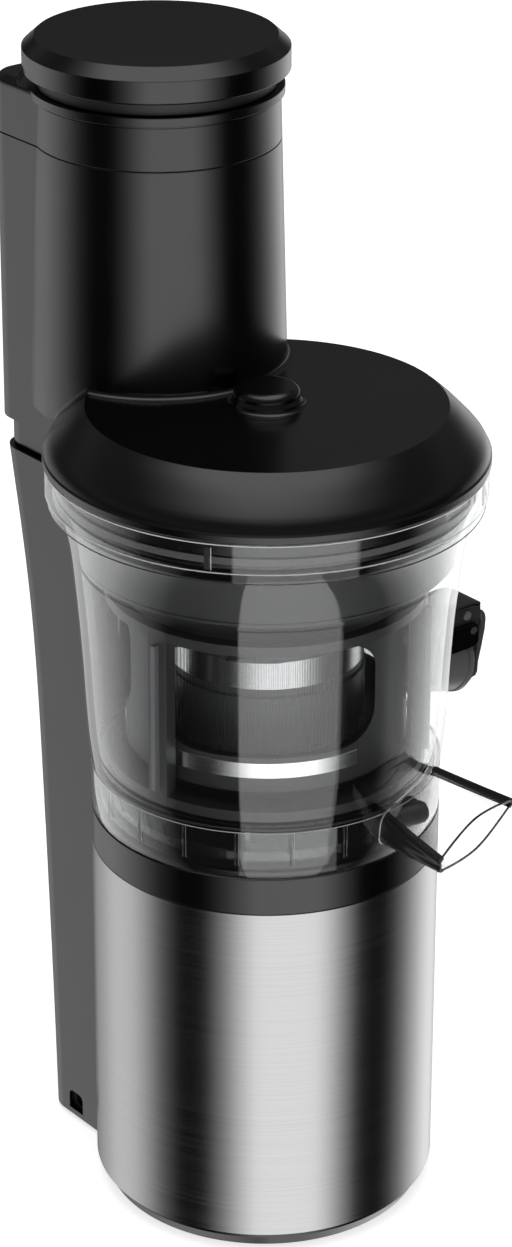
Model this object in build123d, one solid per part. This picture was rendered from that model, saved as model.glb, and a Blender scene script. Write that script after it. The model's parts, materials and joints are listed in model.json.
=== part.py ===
from build123d import *
from math import acos, asin, atan2, cos, degrees, hypot, pi, radians, sin, sqrt
import os

# Wide-chute cold press juicer. Millimetres, +Z up, origin on the motor axis at the
# surface it stands on. -Y is the front, +Y the rear column, +X the juice nozzle's side.

# ---- Clearances ----
running = 0.05              # shaft in its bearing, pin in its hole, radial
fit = 0.3                   # between bodies that move apart
nest = 0.15                 # between pieces that stay together
bowl_clearance = 1.6        # between the column and the bowl

# ---- Base ----
base_radius = 67.5          # outside of the steel sleeve
foot_lift = 1.0             # how far the rubber feet stand below the foot ring
foot_ring_top = 8.1
foot_ring_radius_low = 63.2
foot_ring_wall = 5.0
sleeve_wall = 0.8
sleeve_top = 150.0
tub_wall = 2.6
collar_top = 165.5          # top of the black collar's outer face
seat_top = 167.4            # step and deck that the bowl stands on
deck_thickness = 3.5
bayonet_top = 174.0         # top of the ring that the bowl drops over
bayonet_wall = 3.0
bayonet_lugs = 4
spindle_hole_radius = 12.0

# ---- Motor and gearbox ----
motor_radius = 37.0
motor_length = 74.0
motor_vents = 10
gearbox_radius = 44.0
gearbox_height = 42.0
gearbox_screw_circle = 38.0
bearing_radius = 11.0
bearing_height = 7.0
shaft_radius = 7.0
shaft_hex = 11.0            # across the flats
shaft_top = 220.0

# ---- Rear column ----
column_half_width = 44.5
column_bottom = 2.5
column_top = 290.0
column_wall = 2.4
column_corner = 11.0
heel = 2.7                  # how far the back tapers in at the foot
back_low, back_middle, back_high, back_top = 88.3, 94.4, 101.4, 111.7
height_low, height_middle, height_high = 9.4, 156.0, 236.0
notch_width = 9.2
notch_height = 8.5
notch_from_ground = 5.0
notch_behind_axis = 68.0
switch_height = 100.0
switch_behind_axis = 73.0
switch_length = 30.0
switch_width = 18.0
switch_frame = 2.2
rocker_tilt = 11.0          # degrees to either side

# ---- Bowl ----
bowl_bottom = seat_top + fit
bowl_wall = 2.6
bowl_skirt_depth = 18.3     # from the bowl's foot up to the top of its floor
bowl_floor_top = bowl_bottom + bowl_skirt_depth
bowl_floor = 2.4
bowl_foot_radius = 65.0
bowl_low_radius = 67.4      # just under the floor
bowl_middle_radius, bowl_middle_height = 70.6, 225.0
bowl_high_radius, bowl_high_height = 73.5, 263.4
bowl_flare_radius, bowl_flare_height = 75.9, 280.3
column_seat_radius = 66.4   # bowl's radius where the column starts to follow it
hub_radius = 10.5
hub_wall = 2.0
hub_top = 193.5
rim_radius = 83.4
rim_bottom = 292.4
rim_top = 308.0
rim_lugs = 4
bowl_top_radius = 79.6      # of the wall where it meets the rim's flange
rim_step = 4.2              # height of the narrower band at the rim's foot
skirt_ribs = 12

# ---- Juice nozzle and its drip-stop flap ----
nozzle_radius = 13.6
nozzle_wall = 2.4
nozzle_above_floor = 12.0   # root's centre over the bowl's floor
nozzle_root_height = bowl_floor_top + nozzle_above_floor
nozzle_root_reach = 66.0
nozzle_fall = 7.5           # from the root's centre down to the mouth's
nozzle_mouth_height = nozzle_root_height - nozzle_fall
nozzle_reach = 96.0         # from the main axis to the centre of the mouth
pin_reach = nozzle_reach + 1.5
pin_height = nozzle_root_height + 13.5
pin_radius = 1.6
flap_width = 17.0
flap_arm = 3.4
flap_outer_reach = pin_reach + 9.5
flap_bottom = nozzle_mouth_height - 13.0
flap_travel = 100.0

# ---- Pulp spout ----
spout_turn = 18.0           # degrees from the front towards the nozzle's side
spout_root_width = 38.0
spout_mouth_width = 55.0
spout_root_height = 15.0
spout_mouth_height = 20.5
spout_root_centre = 176.6
spout_mouth_centre = 177.3
spout_reach = 95.0
spout_wall = 1.8
plug_radius = 6.6

# ---- Strainer, wiper and gears ----
strainer_radius = 54.0
strainer_wall = 1.8
strainer_top = 272.0
strainer_shoulder = 256.0    # where the basket starts to flare
strainer_floor = 2.4
strainer_windows = 3
window_bottom = 209.0
window_top = 251.0
mesh_thickness = 0.5
gear_module = 1.5
sun_teeth = 24
idler_teeth = 16
gear_height = 6.0
idler_angles = (40.0, 175.0)
wiper_posts = 3
wiper_top = 258.0

# ---- Auger ----
auger_radius = 38.0
auger_bottom = 201.0
drum_top = 246.0            # smooth drum below, flights and taper above
band_bottom = 229.2
band_top = 240.3
flight_radius = 50.0
flight_pitch = 60.0
flight_starts = 2
auger_top = 292.0
pin_top = 303.0
top_pin_radius = 5.0

# ---- Lid and feed chute ----
lid_skirt_top = 312.1
lid_radius = 84.0
lid_flat_radius = 67.8
lid_flat_top = 329.4
lid_wall = 3.0
lid_shoulder_slope = 0.85   # fall per millimetre outwards at the flat's edge
chute_foot_fillet = 2.4
boss_radius = 13.2
boss_top = 336.4
chute_behind_axis = 66.2
chute_radius_low = 49.4
chute_radius_top = 47.0
chute_bore = 43.9
chute_split = 416.8         # seam round the chute and the block
chute_top = 437.6
block_half_width = 44.5
block_back = 114.5
block_bottom = 291.0
block_corner = 11.0
block_step = 2.5
block_step_height = 11.0

# ---- Pusher ----
cap_bottom = 443.2
cap_radius = 50.2
cap_edge = 452.0            # where the bevel starts
cap_flat_radius = 45.4
cap_top = 456.3
plunger_bottom = 358.0
plunger_wall = 2.4

os.makedirs("parts", exist_ok=True)

BOTTOM = (Align.CENTER, Align.CENTER, Align.MIN)


def disc(radius, low, high, x=0, y=0):
    """Upright cylinder between two heights."""
    return Pos(x, y, low) * Cylinder(radius, high - low, align=BOTTOM)


def tube(outer, inner, low, high, x=0, y=0):
    """Upright tube between two heights."""
    return disc(outer, low, high, x, y) - disc(inner, low - 1, high + 1, x, y)


def slab(x0, x1, y0, y1, z0, z1):
    """Box between two corners."""
    return Pos((x0 + x1) / 2, (y0 + y1) / 2, (z0 + z1) / 2) * Box(x1 - x0, y1 - y0, z1 - z0)


def flat(*points):
    """Straight edges through (radius, height) pairs in the plane of revolution."""
    return Polyline(*[(r, 0, z) for r, z in points]).edges()


def curve(*points, tangents=None):
    """Smooth edge through (radius, height) pairs in the plane of revolution."""
    ends = [(r, 0, z) for r, z in tangents] if tangents else None
    return Spline(*[(r, 0, z) for r, z in points], tangents=ends).edges()


def corner_arc(centre, radius, start, end):
    """Arc in the XZ plane about a (radius, height) centre, between two angles."""
    points = [(centre[0] + radius * cos(radians(a)), 0, centre[1] + radius * sin(radians(a)))
              for a in (start, (start + end) / 2, end)]
    return ThreePointArc(*points).edges()


def turned(*runs):
    """Solid of revolution about the main axis from runs of edges that close."""
    return revolve(make_face([edge for run in runs for edge in run]), Axis.Z)


def around(count, piece, start=0.0):
    """Copies of a piece evenly spaced about the main axis."""
    return [Rot(0, 0, start + 360 * i / count) * piece for i in range(count)]


def on_circle(count, radius, start=0.0):
    """Places evenly spaced on a circle about the main axis."""
    angles = [radians(start + 360 * i / count) for i in range(count)]
    return [(radius * cos(a), radius * sin(a)) for a in angles]


def joined(pieces):
    """All the pieces fused into one."""
    whole = pieces[0]
    for piece in pieces[1:]:
        whole += piece
    return whole


def save(node, shape):
    """Write one sub-part from its solids."""
    solids = [solid for piece in shape for solid in piece.solids()] if isinstance(shape, list) \
        else shape.solids()
    export_step(Compound(solids) if len(solids) > 1 else solids[0], f"parts/{node}.step")


# ======================= Shared outlines =======================

def bowl_outside(inset=0.0):
    """Bowl's outer line from the skirt to the rim, moved inwards by a wall."""
    points = ((bowl_foot_radius, bowl_bottom), (bowl_low_radius, bowl_floor_top - 2.0),
              (bowl_middle_radius, bowl_middle_height), (bowl_high_radius, bowl_high_height),
              (bowl_flare_radius, bowl_flare_height))
    top = bowl_top_radius - inset
    return curve(*[(r - inset, z) for r, z in points], (top, rim_bottom),
                 tangents=((0.11, 1.0), (0.42, 1.0)))


def spout_direction():
    """Turns a shape built along -Y to where the pulp spout points."""
    return Rot(0, 0, spout_turn)


def back_line(inset):
    """Side view of the column's back, from the foot to the top."""
    return Spline((0, back_low - inset, height_low), (0, back_middle - inset, height_middle),
                  (0, back_high - inset, height_high), (0, back_top - inset, column_top - inset),
                  tangents=((0, 0.03, 1.0), (0, 0.2, 1.0)))


def column_prism(inset, half_width, low):
    """Column's full block, with its curved back, as seen from the side."""
    back = back_line(inset)
    foot_back = back_low - inset - heel
    top_front = Line((0, back_top - inset, column_top - inset), (0, 20, column_top - inset))
    front = Line((0, 20, column_top - inset), (0, 20, low))
    bottom = Line((0, 20, low), (0, foot_back, low))
    bevel = Line((0, foot_back, low), (0, back_low - inset, height_low))
    side = make_face([back.edges()[0], top_front.edges()[0], front.edges()[0],
                      bottom.edges()[0], bevel.edges()[0]])
    return extrude(side, half_width, both=True)


def column_keep_out(grow):
    """Everything in front of the column: the base below and the bowl above."""
    base = base_radius + grow
    bowl = bowl_clearance + grow
    shelf = seat_top + 2.0
    line = curve((column_seat_radius + bowl, shelf), (bowl_middle_radius + bowl, bowl_middle_height),
                 (bowl_high_radius + bowl, bowl_high_height),
                 (bowl_flare_radius + bowl, bowl_flare_height),
                 (rim_radius + bowl, column_top + 3.0), tangents=((0.09, 1.0), (1.2, 1.0)))
    rest = flat((rim_radius + bowl, column_top + 3.0), (0, column_top + 3.0), (0, -1),
                (base, -1), (base, shelf), (column_seat_radius + bowl, shelf))
    return turned(line, rest)


# ======================= Base =======================

def foot_ring():
    """Tapered black ring that the sleeve stands on."""
    top = base_radius - 1.2
    inner = top - foot_ring_wall
    ring = turned(flat((foot_ring_radius_low, foot_lift), (top - 0.3, 6.0), (top, foot_ring_top),
                       (inner, foot_ring_top), (inner - 1.5, foot_lift),
                       (foot_ring_radius_low, foot_lift)))
    return ring - column_foot_space()


def column_foot_space():
    """Gap in the ring where the floor runs back under the column."""
    half = column_half_width - column_wall
    return slab(-half, half, 38, 120, 0, foot_ring_top + 1)


plate_radius = base_radius - 1.2 - foot_ring_wall - 1.5 - nest
plate_low = foot_lift + 1.0
plate_high = plate_low + 2.4
foot_places = ((-38, -36), (38, -36), (-31, 76), (31, 76))
foot_radius = 7.5


def base_plate():
    """Floor under the motor and the column, with cooling slots."""
    tail_half = column_half_width - column_wall - nest
    tail_end = back_low - heel - column_wall - nest
    tail = slab(-tail_half, tail_half, 20, tail_end, plate_low, plate_high)
    tail = fillet(tail.edges().filter_by(Axis.Z).sort_by(Axis.Y)[-2:], column_corner - column_wall)
    plate = disc(plate_radius, plate_low, plate_high) + tail
    slot = SlotOverall(26, 3.2)
    for row in range(-3, 4):
        plate -= Pos(0, row * 7.0, plate_low - 1) * extrude(slot, 5)
    for x, y in foot_places:
        plate -= disc(foot_radius - 2.0, plate_low - 1, plate_high + 1, x, y)
    for x, y in screw_places():
        plate -= disc(1.8, plate_low - 1, plate_high + 1, x, y)
    return plate


def screw_places():
    """Screws that hold the floor to the tub."""
    return on_circle(4, plate_radius - 8.0, 0)


def base_screws():
    """Pan-head screws through the floor into the tub's bosses."""
    screws = []
    for x, y in screw_places():
        screws.append(disc(3.2, plate_low - 0.9, plate_low, x, y)
                      + disc(1.6, plate_low, plate_high + 9, x, y))
    return screws


def rubber_feet():
    """Feet pressed through the floor, each with a stem and a wide sole."""
    sole = turned(flat((0, 0), (foot_radius - 1, 0), (foot_radius, 0.7), (foot_radius, plate_low),
                       (foot_radius - 2.2, plate_low), (foot_radius - 2.2, plate_high + 0.4),
                       (0, plate_high + 0.4), (0, 0)))
    return [Pos(x, y, 0) * sole for x, y in foot_places]


tub_radius = base_radius - sleeve_wall - nest
seat_radius = base_radius - 1.5
deck_bottom = seat_top - deck_thickness


def sleeve_window(low, high):
    """Pass-through for the wires from the base to the column."""
    return slab(-16, 16, 40, base_radius + 5, low, high)


def steel_sleeve():
    """Thin brushed tube round the base."""
    sleeve = tube(base_radius, base_radius - sleeve_wall, foot_ring_top, sleeve_top)
    return sleeve - sleeve_window(30, 90)


def inner_tub():
    """Moulded tub that carries the sleeve, the motor and the floor's screws."""
    low = foot_ring_top
    tub = tube(tub_radius, tub_radius - tub_wall, low, sleeve_top)
    bosses = [disc(4.2, plate_high, 26, x, y) for x, y in screw_places()]
    webs = [slab(plate_radius - 6.5, tub_radius - 1, -1.2, 1.2, low, 26)]
    arms = [Rot(0, 0, 90 * i) * webs[0] for i in range(4)]
    tub = joined([tub] + bosses + arms)
    for x, y in screw_places():
        tub -= disc(1.6, plate_high - 1, plate_high + 9.2, x, y)
    return tub - sleeve_window(30, 90)


def collar():
    """Black top of the base: outer band, deck and the bowl's bayonet ring."""
    band = turned(flat((base_radius - 0.3, sleeve_top), (base_radius, sleeve_top + 0.5),
                       (base_radius, collar_top - 0.5), (base_radius - 0.5, collar_top),
                       (seat_radius, collar_top), (seat_radius, seat_top),
                       (spindle_hole_radius, seat_top), (spindle_hole_radius, deck_bottom),
                       (tub_radius - tub_wall, deck_bottom), (tub_radius - tub_wall, sleeve_top),
                       (base_radius - 0.3, sleeve_top)))
    outer = bowl_foot_radius - bowl_wall - 0.9
    ring = tube(outer, outer - bayonet_wall, seat_top, bayonet_top)
    gap = spout_direction() * slab(-30, 30, -base_radius, -20, seat_top, bayonet_top + 1)
    lug = slab(outer - 1.0, outer + 0.7, -8, 8, bayonet_top - 3.2, bayonet_top)
    deck = joined([band, ring - gap] + around(bayonet_lugs, lug, 45))
    for x, y in on_circle(4, gearbox_screw_circle, 45):
        deck -= disc(2.2, deck_bottom - 1, seat_top + 1, x, y)
        deck -= disc(4.2, seat_top - 2.2, seat_top + 1, x, y)
    return deck


def deck_screws():
    """Countersunk in the deck, they hang the gearbox from it."""
    low = seat_top - 2.2
    return [disc(3.9, low, low + 1.8, x, y) + disc(2.0, deck_bottom - 8, low, x, y)
            for x, y in on_circle(4, gearbox_screw_circle, 45)]


seal_outer = spindle_hole_radius - nest


def spindle_seal():
    """Lipped rubber seal round the shaft in the deck."""
    return turned(flat((shaft_radius + fit, deck_bottom), (seal_outer, deck_bottom),
                       (seal_outer, seat_top), (seal_outer + 3.0, seat_top),
                       (seal_outer + 3.0, seat_top + 1.4), (shaft_radius + 3.2, seat_top + 1.4),
                       (shaft_radius + fit, seat_top + 3.4), (shaft_radius + fit, deck_bottom)))


gearbox_low = deck_bottom - gearbox_height
bearing_low = deck_bottom - bearing_height - 2.0


def gearbox_housing():
    """Cast case of the reduction gears, bored for the output shaft's bearing."""
    body = disc(gearbox_radius, gearbox_low + 6, deck_bottom)
    flange = disc(gearbox_radius - 5, gearbox_low, gearbox_low + 6)
    ribs = around(8, slab(gearbox_radius - 4, gearbox_radius + 2.5, -1.5, 1.5,
                          gearbox_low + 6, deck_bottom), 22.5)
    case = joined([body, flange] + ribs)
    case -= disc(shaft_radius + 1.5, gearbox_low + 14, deck_bottom + 1)
    case -= disc(bearing_radius, bearing_low, deck_bottom + 1)
    for x, y in on_circle(4, gearbox_screw_circle, 45):
        case -= disc(2.0, deck_bottom - 8.2, deck_bottom + 1, x, y)
    return case


def output_bearing():
    """Sintered bush that carries the output shaft."""
    return tube(bearing_radius, shaft_radius + running, bearing_low, bearing_low + bearing_height)


def output_shaft():
    """Round in the bearing, with a hexagonal spindle above the deck."""
    low = gearbox_low + 14.3
    round_part = disc(shaft_radius, low, seat_top + 4)
    hexagon = RegularPolygon(shaft_hex / 2, 6, major_radius=False)
    hex_part = Pos(0, 0, seat_top + 4) * extrude(hexagon, shaft_top - seat_top - 4)
    hex_part = chamfer(hex_part.faces().sort_by(Axis.Z)[-1].edges(), 1.2)
    return round_part + hex_part


def motor_can():
    """Drawn steel can of the motor, with vents in its lower end."""
    low = gearbox_low - motor_length
    can = disc(motor_radius, low, gearbox_low)
    can = fillet(can.edges().sort_by(Axis.Z)[0], 4.0)
    can += disc(9.0, low - 3.0, low)
    vent = slab(motor_radius - 3, motor_radius + 1, -3, 3, low + 10, low + 24)
    for cut in around(motor_vents, vent):
        can -= cut
    return can


def motor_cradle():
    """Rubber ring and three struts that steady the motor in the tub."""
    low = gearbox_low - motor_length + 30
    ring = tube(motor_radius + 4.0, motor_radius, low, low + 10)
    strut = slab(motor_radius + 3.5, tub_radius - tub_wall - 0.1, -3, 3, low, low + 10)
    return joined([ring] + around(3, strut, 30))


# ======================= Rear column =======================

def round_back(prism, half_width, radius):
    """Rounds the two long edges where the sides meet the curved back."""
    def long_back(edge):
        return abs(edge.center().X) > half_width - 1 and edge.center().Y > 80 and edge.length > 50
    return fillet(prism.edges().filter_by(long_back), radius)


def column_cover():
    """Moulded shell of the column: sides, curved back and top."""
    outer = round_back(column_prism(0, column_half_width, column_bottom), column_half_width,
                       column_corner)
    inner_half = column_half_width - column_wall
    inner = round_back(column_prism(column_wall, inner_half, -5), inner_half,
                       column_corner - column_wall)
    shell = outer - inner - column_keep_out(nest)
    notch = slab(-column_half_width - 1, -column_half_width + column_wall + 1,
                 notch_behind_axis - notch_width / 2, notch_behind_axis + notch_width / 2,
                 notch_from_ground, notch_from_ground + notch_height)
    notch = fillet(notch.edges().filter_by(Axis.X).sort_by(Axis.Z)[-2:], 2.5)
    shell -= notch
    return shell - switch_cut_out(0)


def switch_cut_out(grow):
    """Rectangular hole for the switch in the column's side."""
    return slab(column_half_width - 6, column_half_width + 6,
                switch_behind_axis - switch_width / 2 - grow, switch_behind_axis + switch_width / 2 + grow,
                switch_height - switch_length / 2 - grow, switch_height + switch_length / 2 + grow)


def column_front():
    """Concave wall that follows the base and the bowl and closes the column."""
    half = column_half_width - column_wall - nest
    inner = column_prism(column_wall + nest, half, plate_high)
    wall = inner & (column_keep_out(column_wall + nest) - column_keep_out(nest))
    window = sleeve_window(34, 86)
    return wall - window


def cord_inlet():
    """Grommet behind the notch at the column's foot, for the mains lead."""
    x0 = -column_half_width + column_wall
    low, high = notch_from_ground - 0.6, notch_from_ground + notch_height + 2
    y0 = notch_behind_axis - notch_width / 2 - 2
    y1 = notch_behind_axis + notch_width / 2 + 2
    block = slab(x0, x0 + 4.6, y0, y1, low, high)
    bore = Pos(x0 + 3, notch_behind_axis, notch_from_ground + notch_height / 2) * \
        Rot(0, 90, 0) * Cylinder(3.4, 12)
    return block - bore


board_behind_axis = 80.0
board_bottom = 156.0


def control_board():
    """Circuit board on the column's side ribs, with a relay and a capacitor."""
    board = slab(-30, 30, board_behind_axis, board_behind_axis + 1.6, board_bottom, board_bottom + 65)
    relay = slab(-22, -3, board_behind_axis - 0.01, board_behind_axis + 9,
                 board_bottom + 8, board_bottom + 26)
    cap = Pos(14, board_behind_axis + 6.5, board_bottom + 40) * Cylinder(5.5, 20)
    feet = [slab(x - 2, x + 2, board_behind_axis, board_behind_axis + 12, z, z + 4)
            for x in (-26, 26) for z in (board_bottom + 2, board_bottom + 58)]
    return joined([board, relay, cap] + feet)


def interlock_switch():
    """Sensor under the column's top that feels the lid's magnet."""
    top = column_top - column_wall
    return slab(-9, 9, 94, 102, top - 7, top)


def switch_bezel():
    """Frame of the rocker, clipped into the column's side."""
    half_l, half_w = switch_length / 2, switch_width / 2
    x = column_half_width
    lip = slab(x, x + 1.6, switch_behind_axis - half_w - 1.6, switch_behind_axis + half_w + 1.6,
               switch_height - half_l - 1.6, switch_height + half_l + 1.6)
    lip = fillet(lip.edges().filter_by(Axis.X), 1.5)
    body = slab(x - 9, x, switch_behind_axis - half_w + nest, switch_behind_axis + half_w - nest,
                switch_height - half_l + nest, switch_height + half_l - nest)
    open_w, open_l = half_w - switch_frame, half_l - switch_frame
    hole = slab(x - 7, x + 5, switch_behind_axis - open_w, switch_behind_axis + open_w,
                switch_height - open_l, switch_height + open_l)
    pin_hole = Pos(rocker_pivot_x, switch_behind_axis, switch_height) * Rot(90, 0, 0) * \
        Cylinder(1.2 + running, switch_width)
    return lip + body - hole - (pin_hole & body)


rocker_pivot_x = column_half_width - 3.2


def switch_rocker():
    """Two-way rocker on its pivot pin, level at rest."""
    width = switch_width - 2 * switch_frame - 0.8
    top = column_half_width + 2.6
    # The key's ends still clear the frame when it is tilted.
    tilt = radians(rocker_tilt)
    lift = top + 1.2 - rocker_pivot_x
    half = (switch_length / 2 - switch_frame - 0.4 - lift * sin(tilt)) / cos(tilt)
    dish = ThreePointArc((top + 1.2, 0, -half), (top - 0.9, 0, 0), (top + 1.2, 0, half))
    cheeks = Polyline((top + 1.2, 0, half), (rocker_pivot_x + 0.6, 0, half - 1.6),
                      (rocker_pivot_x - 2.4, 0, 0), (rocker_pivot_x + 0.6, 0, -half + 1.6),
                      (top + 1.2, 0, -half))
    key = extrude(make_face(dish.edges() + cheeks.edges()), width / 2, both=True)
    pin = Pos(rocker_pivot_x, 0, 0) * Rot(90, 0, 0) * Cylinder(1.2, switch_width - 1.6)
    return Pos(0, switch_behind_axis, switch_height) * (key + pin)


# ======================= Bowl =======================

def nozzle_axis(radius, start, end):
    """Cylinder along the nozzle's sloping axis, between two distances from the main axis."""
    fall = -nozzle_fall / (nozzle_reach - nozzle_root_reach)
    slope = degrees(atan2(-fall, 1))
    middle = (start + end) / 2
    height = nozzle_root_height + fall * (middle - nozzle_root_reach)
    length = (end - start) / cos(radians(slope))
    return Pos(middle, 0, height) * Rot(0, 90 + slope, 0) * Cylinder(radius, length)


def spout_section(width, height, centre, y):
    """Rounded lens outline across the spout."""
    corner = min(height, width) / 2 - 0.6
    return Plane(origin=(0, y, centre), x_dir=(1, 0, 0), z_dir=(0, -1, 0)) * \
        RectangleRounded(width, height, corner)


def spout_form(wall):
    """Pulp spout from inside the skirt to the mouth, less a wall."""
    start = -52.0
    sections = [spout_section(spout_root_width - 2 * wall, spout_root_height - 2 * wall,
                              spout_root_centre, start),
                spout_section(spout_root_width + 2 - 2 * wall, spout_root_height + 1 - 2 * wall,
                              spout_root_centre, -66.0),
                spout_section(spout_mouth_width - 2 * wall, spout_mouth_height - 2 * wall,
                              spout_mouth_centre, -spout_reach - (0.5 if wall else 0))]
    return spout_direction() * loft(sections, ruled=True)


def bowl():
    """Clear bowl: skirt, floor with its hub, flared wall and locking rim."""
    foot = rim_radius - 1.0
    inner_top = bowl_top_radius - bowl_wall
    shell = turned(bowl_outside(), flat((bowl_top_radius, rim_bottom), (foot, rim_bottom),
                                        (foot, rim_bottom + rim_step - 0.8),
                                        (rim_radius, rim_bottom + rim_step),
                                        (rim_radius, rim_top), (rim_radius - bowl_wall, rim_top),
                                        (rim_radius - bowl_wall, rim_bottom + bowl_wall),
                                        (inner_top + 1.0, rim_bottom + bowl_wall), (inner_top, rim_bottom)),
                   bowl_outside(bowl_wall),
                   flat((bowl_foot_radius - bowl_wall, bowl_bottom), (bowl_foot_radius, bowl_bottom)))
    inside = bowl_low_radius - bowl_wall + 0.4
    floor = tube(inside, hub_radius, bowl_floor_top - bowl_floor, bowl_floor_top)
    hub = tube(hub_radius + hub_wall, hub_radius, bowl_bottom + 6, hub_top)
    rib = slab(inside - 4.5, inside - 1.0, -0.8, 0.8, bayonet_top + 0.8, bowl_floor_top - 1)
    lug = slab(rim_radius - bowl_wall - 1.6, rim_radius - 1, -9, 9, rim_top - 6.5, rim_top - 3.5)
    whole = joined([shell, floor, hub] + around(skirt_ribs, rib, 15) + around(rim_lugs, lug, 22))
    whole += pulp_port(0) - disc(hub_radius, 150, 200)
    whole -= pulp_port(spout_wall)
    whole -= spout_form(-nest)
    whole -= nozzle_axis(nozzle_radius + nest, 40, 74)
    ledge = turned(flat((ledge_inner, ledge_top - 2.0), (bowl_ledge_radius, ledge_top - 2.0),
                        (bowl_ledge_radius, ledge_top), (ledge_inner, ledge_top),
                        (ledge_inner, ledge_top - 2.0)))
    whole += ledge
    for x, y in idler_places():
        whole += disc(2.5, bowl_floor_top - 0.5, bowl_floor_top + gear_height + 1.2, x, y)
    return whole


def pulp_port(wall):
    """Duct that leads pulp from the strainer's floor down to the spout."""
    high = strainer_low - 0.6
    low = spout_root_centre - spout_root_height / 2
    inner, outer = 22.5, 36.5
    grow = 1.0 if wall else 0.0
    drop = slab(-10 + wall, 10 - wall, -outer + wall, -inner + wall, low + wall, high + grow)
    half = spout_root_width / 2
    duct = slab(-half + wall, half - wall, -53.5 - grow, -inner + wall - grow,
                low + wall, spout_root_centre + spout_root_height / 2 - wall)
    return spout_direction() * (drop + duct)


def pulp_spout():
    """Wide clear spout that the pulp leaves by."""
    form = spout_form(0) - spout_form(spout_wall)
    return form - (spout_direction() * slab(-60, 60, -53.8, 0, 150, 200))


def pulp_valve():
    """Black stopper tube at the spout's root."""
    y0, y1 = -57.0, -79.0
    body = Pos(-6.5, (y0 + y1) / 2, spout_root_centre - 0.2) * Rot(90, 0, 0) * \
        Cylinder(plug_radius - 0.9, abs(y1 - y0))
    bore = Pos(-6.5, y1 + 4, spout_root_centre - 0.2) * Rot(90, 0, 0) * Cylinder(plug_radius - 2.7, 14)
    return spout_direction() * (body - bore)


def juice_nozzle():
    """Short sloping pipe that the juice leaves by."""
    outside = nozzle_axis(nozzle_radius, 60, nozzle_reach)
    bore = nozzle_axis(nozzle_radius - nozzle_wall, 50, nozzle_reach + 10)
    root = turned(bowl_outside(0.6), flat((bowl_top_radius - 0.6, rim_bottom), (0, rim_bottom),
                                          (0, bowl_bottom), (bowl_foot_radius - 0.6, bowl_bottom)))
    return outside - bore - root


def flap_bracket():
    """Black ears above the nozzle that hold the flap's pin."""
    ear_out = flap_width / 2 + 2.6
    root = bowl_low_radius + 1.2
    ear = slab(root, pin_reach + 2.8, flap_width / 2 + fit, ear_out,
               pin_height - 7.0, pin_height + 3.0)
    ear = fillet(ear.edges().filter_by(Axis.Y).sort_by(Axis.X)[-2:], 2.6)
    web = slab(root, pin_reach - 8.0, -ear_out, ear_out, pin_height - 3.4, pin_height + 3.0)
    web = fillet(web.edges().filter_by(Axis.Y).sort_by(Axis.X)[-1:], 1.5)
    whole = web + ear + mirror(ear, Plane.XZ)
    hole = Pos(pin_reach, 0, pin_height) * Rot(90, 0, 0) * Cylinder(pin_radius, 40)
    wall = turned(bowl_outside(-0.05), flat((bowl_top_radius + 0.05, rim_bottom), (0, rim_bottom),
                                            (0, bowl_bottom), (bowl_foot_radius + 0.05, bowl_bottom)))
    return whole - hole - wall - nozzle_axis(nozzle_radius + 0.05, 50, nozzle_reach + 5)


def flap_pin():
    """Steel pin through both ears."""
    return Pos(pin_reach, 0, pin_height) * Rot(90, 0, 0) * Cylinder(pin_radius, flap_width + 5.0)


def drip_flap():
    """Hooked lever that swings up from the nozzle's mouth."""
    half = flap_width / 2
    outer_x = flap_outer_reach
    top = pin_height + 5.6
    under = top - flap_arm
    bend = 5.0
    outside = Line((pin_reach - 2, 0, top), (outer_x - bend, 0, top)).edges() + \
        corner_arc((outer_x - bend, top - bend), bend, 90, 0) + \
        Polyline((outer_x, 0, top - bend), (outer_x - 2.4, 0, flap_bottom + 2),
                 (outer_x - 4.0, 0, flap_bottom), (outer_x - 7.4, 0, flap_bottom),
                 (outer_x - 7.4, 0, flap_bottom + 2.6), (outer_x - 5.6, 0, flap_bottom + 4.4),
                 (outer_x - flap_arm, 0, under - 2.4), (outer_x - flap_arm - 2.4, 0, under),
                 (pin_reach - 2, 0, under), (pin_reach - 2, 0, top)).edges()
    arm = extrude(make_face(outside), half, both=True)
    knuckle = 3.2
    barrel = Pos(pin_reach, 0, pin_height) * Rot(90, 0, 0) * Cylinder(knuckle, flap_width)
    hole = Pos(pin_reach, 0, pin_height) * Rot(90, 0, 0) * Cylinder(pin_radius + running, 40)
    return arm + barrel - hole


def flap_seal():
    """Soft pad that closes the mouth, held by the lever."""
    pad = nozzle_axis(nozzle_radius - 0.6, nozzle_reach + fit, nozzle_reach + 3.0)
    stem = nozzle_axis(3.0, nozzle_reach + 2.9, flap_outer_reach)
    lever = drip_flap()
    beyond = slab(flap_outer_reach - 3.2, flap_outer_reach + 20, -9, 9, flap_bottom - 20, pin_height)
    return pad + (stem - lever - beyond)


strainer_low = bowl_floor_top + gear_height + 2.8


def hub_seal():
    """Silicone ring on the bowl's hub, under the auger."""
    inner = hub_radius + hub_wall + 0.02
    return tube(inner + 1.4, inner, hub_top - 3.2, hub_top)


# ======================= Strainer and wiper =======================

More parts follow.
